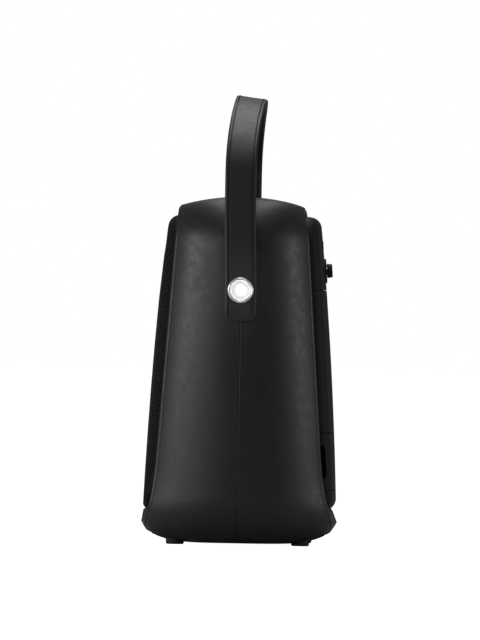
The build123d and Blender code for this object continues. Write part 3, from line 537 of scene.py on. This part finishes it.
def grille_sheet():
    """Sheet of six-sided cells, each with a round hole that has a wall."""
    centres = hole_centres()
    rings = circle_points(centres, HOLE_CORNERS, HOLE_R).reshape(-1, 2)
    corners = circle_points(centres, 6, HOLE_PITCH / math.sqrt(3)).reshape(-1, 2)
    shared, where = np.unique(np.round(corners, 3), axis=0, return_inverse=True)
    where = where.reshape(-1, 6)
    front = roll_up(np.concatenate([shared, rings]))
    back = roll_up(rings, -HOLE_DEPTH)
    faces = []
    for cell in range(len(centres)):
        base = len(shared) + HOLE_CORNERS * cell
        deep = base + len(rings)
        for k in range(6):
            ends = (where[cell][k], where[cell][(k + 1) % 6])
            hole = [base + (2 * k + step) % HOLE_CORNERS for step in (2, 1, 0)]
            faces.append((*ends, *hole))
        for k in range(HOLE_CORNERS):
            following = (k + 1) % HOLE_CORNERS
            faces.append((base + k, base + following, deep + following, deep + k))
    points = np.concatenate([front, back])
    return make_object("grille_mesh_sheet", points, faces, MATERIALS["black_perforated_steel"])


def grille_rim():
    """Plain rolled edge of the mesh."""
    rows = []
    for distance, lift in PLAIN_RIM:
        grow = UNROLLED - distance
        laid = roll_up(pattern_outline(grow, grow), lift)
        if distance < 0:
            laid = laid - np.array((0.0, -math.cos(EDGE_LEAN), math.sin(EDGE_LEAN))) * RIM_TAIL
        rows.append(laid)
    faces = grid_faces(len(rows), len(rows[0]))
    made = make_object("grille_mesh_rim", np.concatenate(rows), faces, MATERIALS["black_perforated_steel"])
    fix_normals(made)
    return made


def grille_painted_shade():
    """Near-black, almost unlit sheet against the back of the mesh: painted shade for the dark inside of the
    cabinet seen through the holes.
    """
    ring = pattern_outline(UNROLLED - PAINTED_SHADE_GAP, UNROLLED)
    middle = np.array((0.0, MESH_MIDDLE))
    rows = [roll_up(middle + (ring - middle) * share, -HOLE_DEPTH) for share in PAINTED_SHADE_SHARES]
    points = np.concatenate([*rows, roll_up(middle[None], -HOLE_DEPTH)])
    columns = len(ring)
    last = (len(rows) - 1) * columns
    faces = grid_faces(len(rows), columns)
    faces += [(last + c, last + (c + 1) % columns, len(points) - 1) for c in range(columns)]
    return make_object("grille_painted_shade", points, faces, MATERIALS["painted_shade_sheet"])


finish_piece(grille_sheet(), "black_perforated_steel", "cabinet", "grille_mesh")
# The near-black sheet behind the mesh is painted shade for the dark inside of the cabinet
finish_piece(grille_painted_shade(), "black_perforated_steel", "cabinet")
finish_piece(grille_rim(), "black_perforated_steel", "cabinet", "grille_mesh")

# ---------------------------------------------------------------- strap
strap_low, strap_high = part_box("strap")
STRAP_OUTER = strap_high.x / MM
STRAP_HALF = strap_high.y / MM
STRAP_END = strap_low.z / MM
STRAP_TOP = strap_high.z / MM
STRAP_THICK = 3.0
STRAP_END_R = 6.5
STRAP_BEND = 256.0
STRAP_ROWS = 420
ARCH_STEPS = 400
LEG_STEPS = 100
APEX_SHIFT = 5.5
APEX_ROLL = math.radians(8)
APEX_DROP = 1.3
APEX_POWER = 2.2
LEG_LEAN = 1.15
LEAN_TOP = STRAP_BEND - 14
STRAP_WIDTH_SHARE = 0.985  # of the CAD band's width
END_BEVEL = 0.6
END_THICKNESS = 0.75

STITCH_PITCH = 2.6
STITCH_Y = 8.4
STITCH_LENGTH = 0.66  # of the pitch
STITCH_R = 0.36
STITCH_TIP = 0.3  # of the radius
STITCH_SLANT = 0.28
STITCH_LIFT = 0.16  # how far the middle of a stitch stands over its ends
STITCH_SINK = 0.6  # share of that lift by which the ends dip into their holes
STITCH_FACES = (1.36, -1.42)
STITCH_STEPS = 5
STITCH_SIDES = 6


def strap_path(count):
    """Evenly spaced points of the strap's middle line from end to end, each with its outward direction."""
    middle_x = STRAP_OUTER - STRAP_THICK / 2
    rise = STRAP_TOP - STRAP_THICK / 2 - STRAP_BEND
    angle = np.linspace(0, math.pi, ARCH_STEPS)
    arch = np.stack([middle_x * np.cos(angle), STRAP_BEND + rise * np.sin(angle)], 1)
    leg = np.linspace(STRAP_END, STRAP_BEND, LEG_STEPS, endpoint=False)
    right = np.stack([np.full(LEG_STEPS, middle_x), leg], 1)
    left = np.stack([np.full(LEG_STEPS, -middle_x), leg[::-1]], 1)
    dense = np.concatenate([right, arch, left])
    length = np.concatenate([[0], np.cumsum(np.linalg.norm(np.diff(dense, axis=0), axis=1))])
    even = np.linspace(0, length[-1], count)
    x = np.interp(even, length, dense[:, 0])
    z = np.interp(even, length, dense[:, 1])
    along = np.stack([np.gradient(x), np.gradient(z)], 1)
    along /= np.linalg.norm(along, axis=1)[:, None]
    outwards = np.stack([along[:, 1], -along[:, 0]], 1)
    return even, np.stack([x, z], 1), outwards, length[-1]


def strap_point(middle, outwards, across, off):
    """A point of the strap: it leans forwards a little up its legs and rolls rearwards over its top."""
    x, z = middle
    arch = max(0.0, (z - STRAP_BEND) / (STRAP_TOP - STRAP_BEND)) ** APEX_POWER
    lean = smooth_step(z, STUD_Z, LEAN_TOP)
    roll = APEX_ROLL * arch
    width = across * STRAP_WIDTH_SHARE
    y = APEX_SHIFT * arch - LEG_LEAN * lean + width * math.cos(roll)
    drop = -width * math.sin(roll) - APEX_DROP * arch
    return (x + outwards[0] * off, y, z + outwards[1] * off + drop)


# Half of the section as offsets (across, out), from the middle of the outer face to near that of the inner one
HALF_SECTION = (
    (0.0, 1.42), (4.0, 1.46), (7.2, 1.5), (7.9, 1.46), (8.4, 1.28), (8.9, 1.46), (9.5, 1.5), (10.1, 1.42),
    (10.6, 1.15), (10.9, 0.8), (11.0, 0.25), (10.9, 0.0), (11.0, -0.25), (10.9, -0.8), (10.6, -1.2),
    (10.1, -1.42), (9.4, -1.5), (8.8, -1.5), (8.4, -1.35), (8.0, -1.5), (4.0, -1.5),
)
INNER_MIDDLE = (0.0, -STRAP_THICK / 2)


def end_half_width(distance):
    """Half width of the strap near its rounded end."""
    inside = max(0.0, STRAP_END_R - distance)
    return STRAP_HALF - STRAP_END_R + math.sqrt(max(0.0, STRAP_END_R**2 - inside**2))


def build_strap(even, middles, outwards, length):
    """Band with stitch grooves near both edges and rounded ends."""
    section = [*HALF_SECTION, INNER_MIDDLE, *((-y, off) for y, off in HALF_SECTION[:0:-1])]
    points = []
    for distance_on, middle, outward in zip(even, middles, outwards):
        distance = min(distance_on, length - distance_on)
        width = end_half_width(distance) / STRAP_HALF
        thin = min(1.0, END_THICKNESS + (1 - END_THICKNESS) * distance / END_BEVEL)
        points += [strap_point(middle, outward, y * width, off * thin) for y, off in section]
    columns = len(section)
    faces = grid_faces(len(middles), columns)
    faces.append(tuple(range(columns)))
    faces.append(tuple(range(len(points) - 1, len(points) - columns - 1, -1)))
    made = make_object("leather_strap", points, faces, MATERIALS["black_leather"])
    fix_normals(made)
    return made


def between_rows(rows, where):
    """A row's value at a fractional place."""
    low = min(int(where), len(rows) - 2)
    mix = where - low
    return rows[low] * (1 - mix) + rows[low + 1] * mix


def stitch_points(start, row_y, face_off, middles, outwards, length):
    """One stitch: a short slanting bead, thickest in its middle."""
    points = []
    for k in range(STITCH_STEPS):
        share = k / (STITCH_STEPS - 1)
        where = (start + (share - 0.5) * STITCH_PITCH * STITCH_LENGTH) / length * (len(middles) - 1)
        middle = between_rows(middles, where)
        outward = between_rows(outwards, where)
        arc = math.sin(math.pi * share)
        thick = STITCH_R * (STITCH_TIP + (1 - STITCH_TIP) * arc)
        off = face_off + math.copysign(STITCH_LIFT * (arc - STITCH_SINK), face_off)
        across = row_y + STITCH_SLANT * (share - 0.5)
        for a in range(STITCH_SIDES):
            angle = 2 * math.pi * a / STITCH_SIDES
            turn_y, turn_off = thick * math.cos(angle), thick * math.sin(angle)
            points.append(strap_point(middle, outward, across + turn_y, off + turn_off))
    return points


def build_stitches(middles, outwards, length):
    """Two rows of thread along each face."""
    points, faces = [], []
    for row_y in (-STITCH_Y, STITCH_Y):
        for stitch in range(2, int(length / STITCH_PITCH) - 2):
            for face_off in STITCH_FACES:
                base = len(points)
                points += stitch_points(stitch * STITCH_PITCH, row_y, face_off, middles, outwards, length)
                faces += grid_faces(STITCH_STEPS, STITCH_SIDES, start=base)
                faces.append(tuple(range(base, base + STITCH_SIDES)))
                faces.append(tuple(range(len(points) - STITCH_SIDES, len(points))))
    made = make_object("strap_stitching", points, faces, MATERIALS["black_thread"])
    fix_normals(made)
    return made


even, middles, outwards, strap_length = strap_path(STRAP_ROWS)
strap = build_strap(even, middles, outwards, strap_length)
finish_piece(strap, "black_leather", "strap", "strap")
finish_piece(build_stitches(middles, outwards, strap_length), "black_leather", "strap")

# ---------------------------------------------------------------- studs
STUD_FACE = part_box("strap_studs")[1].x / MM
STUD_SIDES = 128
# Radius and height over the head's face: shank, shoulder, rounded rim, shallow groove and domed face
STUD_PROFILE = (
    (0, -23.0), (2.4, -23.0), (2.5, -22.6), (2.5, -5.9), (4.0, -5.9), (4.0, -2.4), (8.7, -2.4), (8.95, -2.2),
    (9.0, -1.9), (9.0, -1.1), (8.9, -0.6), (8.6, -0.2), (8.2, 0.0), (7.9, -0.06), (7.65, -0.28), (7.4, -0.36),
    (6.0, -0.22), (4.0, -0.1), (2.0, -0.03), (0, 0),
)
for name, sign in (("right_strap_stud", 1), ("left_strap_stud", -1)):
    centre = (sign * STUD_FACE, 0, STUD_Z)
    stud = turned(name, STUD_PROFILE, centre, (sign, 0, 0), MATERIALS["satin_nickel"], STUD_SIDES)
    finish_piece(stud, "satin_nickel", "cabinet", "strap_studs")

# ---------------------------------------------------------------- studio, in metres
BOX_AIM = (0, 0, 0.2)
SOFTBOXES = (  # name, place, size, power
    ("top_softbox", (-0.35, 0, 1.3), (0.5, 1.3), 6.8),
    ("front_softbox", (0.3, 0, 1.3), (0.5, 1.3), 4.0),
    ("left_strip", (0.4, -0.85, 0.27), (0.5, 0.2), 1.9),
    ("far_left_strip", (0.15, -0.95, 0.27), (0.35, 0.2), 0.8),
    ("near_left_strip", (0.8, -0.6, 0.27), (0.5, 0.2), 1.3),
    ("right_strip", (0.17, 0.9, 0.25), (0.26, 0.24), 1.1),
    ("near_right_strip", (0.5, 0.8, 0.25), (0.4, 0.24), 0.35),
)
SPOT_POWER = 9
SPOT_DISTANCE = 1.6
SPOT_ANGLE = math.radians(2.0)
FLOOR_REACH = 30.0
FLOOR_GREY = (0.45, 0.45, 0.45)
AMBIENT = 0.13


def add_light(data, where, aim):
    """Light at a place, turned towards another."""
    light = bpy.data.objects.new(data.name, data)
    light.location = where
    light.rotation_mode = "QUATERNION"
    light.rotation_quaternion = (Vector(aim) - Vector(where)).to_track_quat("-Z", "Y")
    bpy.context.scene.collection.objects.link(light)


for name, where, size, power in SOFTBOXES:
    box_data = bpy.data.lights.new(name, "AREA")
    box_data.shape = "RECTANGLE"
    box_data.size, box_data.size_y = size
    box_data.energy = power
    add_light(box_data, where, BOX_AIM)

spot_data = bpy.data.lights.new("stud_spot", "SPOT")
spot_data.energy = SPOT_POWER
spot_data.spot_size = SPOT_ANGLE
spot_data.spot_blend = 1.0
spot_data.shadow_soft_size = 0.02
add_light(spot_data, (SPOT_DISTANCE, 0, STUD_Z * MM), (0, 0, STUD_Z * MM))

# The floor and the world look white to the camera, and light the object less than they show
floor_mesh = bpy.data.meshes.new("studio_floor")
floor_corners = [(FLOOR_REACH * x, FLOOR_REACH * y, 0) for x, y in ((-1, -1), (1, -1), (1, 1), (-1, 1))]
floor_mesh.from_pydata(floor_corners, [], [(0, 1, 2, 3)])
floor = bpy.data.objects.new("studio_floor", floor_mesh)
bpy.context.scene.collection.objects.link(floor)
floor_look, nodes, links, shader = new_material("studio_floor", FLOOR_GREY, 0.9, specular=0.1)
shader.inputs["Emission Color"].default_value = (1, 1, 1, 1)
seen = nodes.new("ShaderNodeLightPath")
links.new(seen.outputs["Is Camera Ray"], shader.inputs["Emission Strength"])
floor_mesh.materials.append(floor_look)

world = bpy.data.worlds.new("studio")
world.use_nodes = True
bpy.context.scene.world = world
nodes, links = world.node_tree.nodes, world.node_tree.links
sky = nodes["Background"]
sky.inputs["Color"].default_value = (1, 1, 1, 1)
seen = nodes.new("ShaderNodeLightPath")
vary(nodes, links, seen.outputs["Is Camera Ray"], AMBIENT, 1.0, sky.inputs["Strength"])

CAMERA_DISTANCE = 8.0
CAMERA_YAW = math.radians(-1.2)
CAMERA_ROLL = math.radians(1.0)
CAMERA_HEIGHT = 0.1564
CAMERA_SHIFT = -0.0021
VIEW_HEIGHT = 0.448
SENSOR = 36
camera_data = bpy.data.cameras.new("camera")
camera = bpy.data.objects.new("camera", camera_data)
bpy.context.scene.collection.objects.link(camera)
back = Vector((math.cos(CAMERA_YAW), -math.sin(CAMERA_YAW), 0))
camera.location = back * CAMERA_DISTANCE + Vector((0, CAMERA_SHIFT, CAMERA_HEIGHT))
camera.rotation_mode = "QUATERNION"
roll = Matrix.Rotation(CAMERA_ROLL, 3, "Z")
camera.rotation_quaternion = ((-back).to_track_quat("-Z", "Y").to_matrix() @ roll).to_quaternion()
camera_data.sensor_width = SENSOR
camera_data.lens = SENSOR * CAMERA_DISTANCE / VIEW_HEIGHT
camera_data.clip_end = 100
bpy.context.scene.camera = camera
bpy.context.scene.view_settings.view_transform = "Standard"
